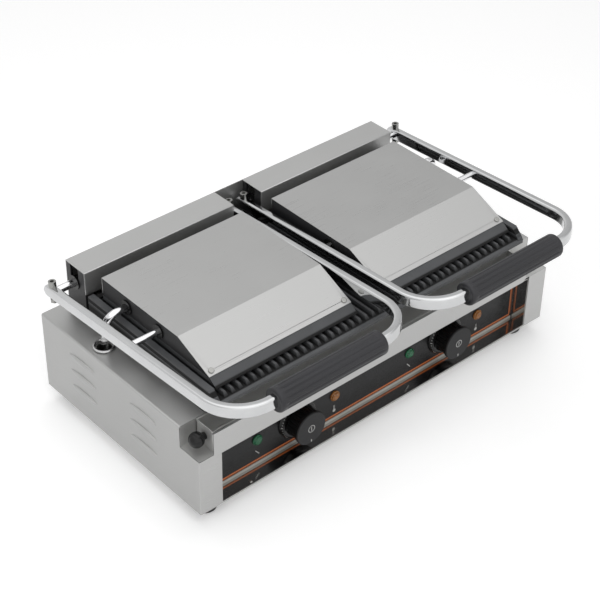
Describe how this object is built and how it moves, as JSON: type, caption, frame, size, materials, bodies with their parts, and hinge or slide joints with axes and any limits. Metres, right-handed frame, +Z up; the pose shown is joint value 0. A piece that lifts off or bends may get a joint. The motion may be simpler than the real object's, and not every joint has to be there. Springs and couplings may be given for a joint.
{
  "type": "double contact grill",
  "caption": "Countertop contact grill with ribbed cast plates side by side, hinged self-levelling lids on chrome handles, thermostat knobs, lamps and a sliding grease tray.",
  "frame": {"origin": "bottom centre of the bounding box, on the surface the feet stand on", "axes": "+X right as seen from the front, +Y towards the back, +Z up"},
  "size_m": [0.575, 0.3832, 0.21],
  "materials": {
    "stainless": "fine brushed stainless sheet",
    "polished_steel": "polished stainless sheet",
    "chrome": "bright chrome plate",
    "cast_iron": "dark enamelled casting",
    "black_steel": "black heat resisting paint",
    "black_plastic": "moulded black",
    "grip_plastic": "fluted charcoal moulding",
    "knob_plastic": "moulded black with printed dial",
    "panel_film": "printed polyester film",
    "green_lens": "moulded lens",
    "amber_lens": "moulded lens",
    "rubber": "moulded rubber",
    "screw_steel": "bright zinc plate",
    "element_sheath": "heat darkened sheath",
    "spring_steel": "oiled spring wire",
    "insulation": "mineral fibre board",
    "ceramic": "glazed ceramic"
  },
  "bodies": {
    "base": {"body_shell": "stainless", "channel": "stainless", "front_frame": "stainless", "front_rail": "stainless", "recess_liner": "polished_steel", "control_panel": "stainless", "panel_film": "panel_film", "bottom_plate": "stainless", "rear_panel": "stainless", "rear_screws": "screw_steel", "cable_gland": "black_plastic", "terminal_block": "ceramic", "feet": "rubber", "foot_screws": "screw_steel", "bezels": "black_plastic", "thermostats": "screw_steel", "green_lamps": "green_lens", "amber_lamps": "amber_lens", "lower_plate": "cast_iron", "heater_box": "black_steel", "lower_elements": "element_sheath", "lower_insulation": "insulation", "rear_housing": "stainless", "end_brackets": "black_steel", "centre_brackets": "black_steel", "shaft_bushes": "black_plastic", "balance_springs": "spring_steel", "deck_grommets": "chrome"},
    "tray": {"grease_tray": "stainless", "tray_knob": "black_plastic"},
    "left_handle": {"handle_bar_left": "chrome", "grip_left": "grip_plastic", "clamp_screws_left": "screw_steel", "handle_shaft_left": "chrome", "pivot_pins_left": "chrome"},
    "left_lid": {"cover_left": "stainless", "cover_screws_left": "screw_steel", "lid_frame_left": "black_steel", "lid_bushes_left": "black_plastic", "upper_plate_left": "cast_iron", "upper_element_left": "element_sheath", "upper_insulation_left": "insulation"},
    "left_conduit": {"conduit_left": "chrome"},
    "left_knob": {"knob_left": "knob_plastic", "spindle_left": "screw_steel"},
    "right_handle": {"handle_bar_right": "chrome", "grip_right": "grip_plastic", "clamp_screws_right": "screw_steel", "handle_shaft_right": "chrome", "pivot_pins_right": "chrome"},
    "right_lid": {"cover_right": "stainless", "cover_screws_right": "screw_steel", "lid_frame_right": "black_steel", "lid_bushes_right": "black_plastic", "upper_plate_right": "cast_iron", "upper_element_right": "element_sheath", "upper_insulation_right": "insulation"},
    "right_conduit": {"conduit_right": "chrome"},
    "right_knob": {"knob_right": "knob_plastic", "spindle_right": "screw_steel"}
  },
  "joints": [
    {"name": "grease_tray_slide", "type": "slide", "parent": "base", "child": "tray", "axis": [-1, 0, 0], "range_m": [0, 0.4]},
    {"name": "left_handle_hinge", "type": "hinge", "parent": "base", "child": "left_handle", "pos_m": [-0.146, 0.1586, 0.1755], "axis": [-1, 0, 0], "range_deg": [0, 55]},
    {"name": "left_lid_tilt", "type": "hinge", "parent": "left_handle", "child": "left_lid", "pos_m": [-0.1305, 0.0101, 0.18414], "axis": [-1, 0, 0], "range_deg": [-11.2, 0]},
    {"name": "left_conduit_swing", "type": "hinge", "parent": "left_lid", "child": "left_conduit", "pos_m": [-0.24, 0.0706, 0.183], "axis": [-1, 0, 0], "range_deg": [-14, 0]},
    {"name": "left_knob_turn", "type": "hinge", "parent": "base", "child": "left_knob", "pos_m": [-0.123, -0.1214, 0.063], "axis": [0, 1, 0], "range_deg": [0, 270]},
    {"name": "right_handle_hinge", "type": "hinge", "parent": "base", "child": "right_handle", "pos_m": [0.146, 0.1586, 0.1755], "axis": [-1, 0, 0], "range_deg": [0, 55]},
    {"name": "right_lid_tilt", "type": "hinge", "parent": "right_handle", "child": "right_lid", "pos_m": [0.1305, 0.0101, 0.18414], "axis": [-1, 0, 0], "range_deg": [-11.2, 0]},
    {"name": "right_conduit_swing", "type": "hinge", "parent": "right_lid", "child": "right_conduit", "pos_m": [0.24, 0.0706, 0.183], "axis": [-1, 0, 0], "range_deg": [-14, 0]},
    {"name": "right_knob_turn", "type": "hinge", "parent": "base", "child": "right_knob", "pos_m": [0.123, -0.1214, 0.063], "axis": [0, 1, 0], "range_deg": [0, 270]}
  ],
  "couplings": [
    {"joint": "left_lid_tilt", "follows": "left_handle_hinge", "ratio": -0.2},
    {"joint": "left_conduit_swing", "follows": "left_handle_hinge", "ratio": -0.25},
    {"joint": "right_lid_tilt", "follows": "right_handle_hinge", "ratio": -0.2},
    {"joint": "right_conduit_swing", "follows": "right_handle_hinge", "ratio": -0.25}
  ]
}
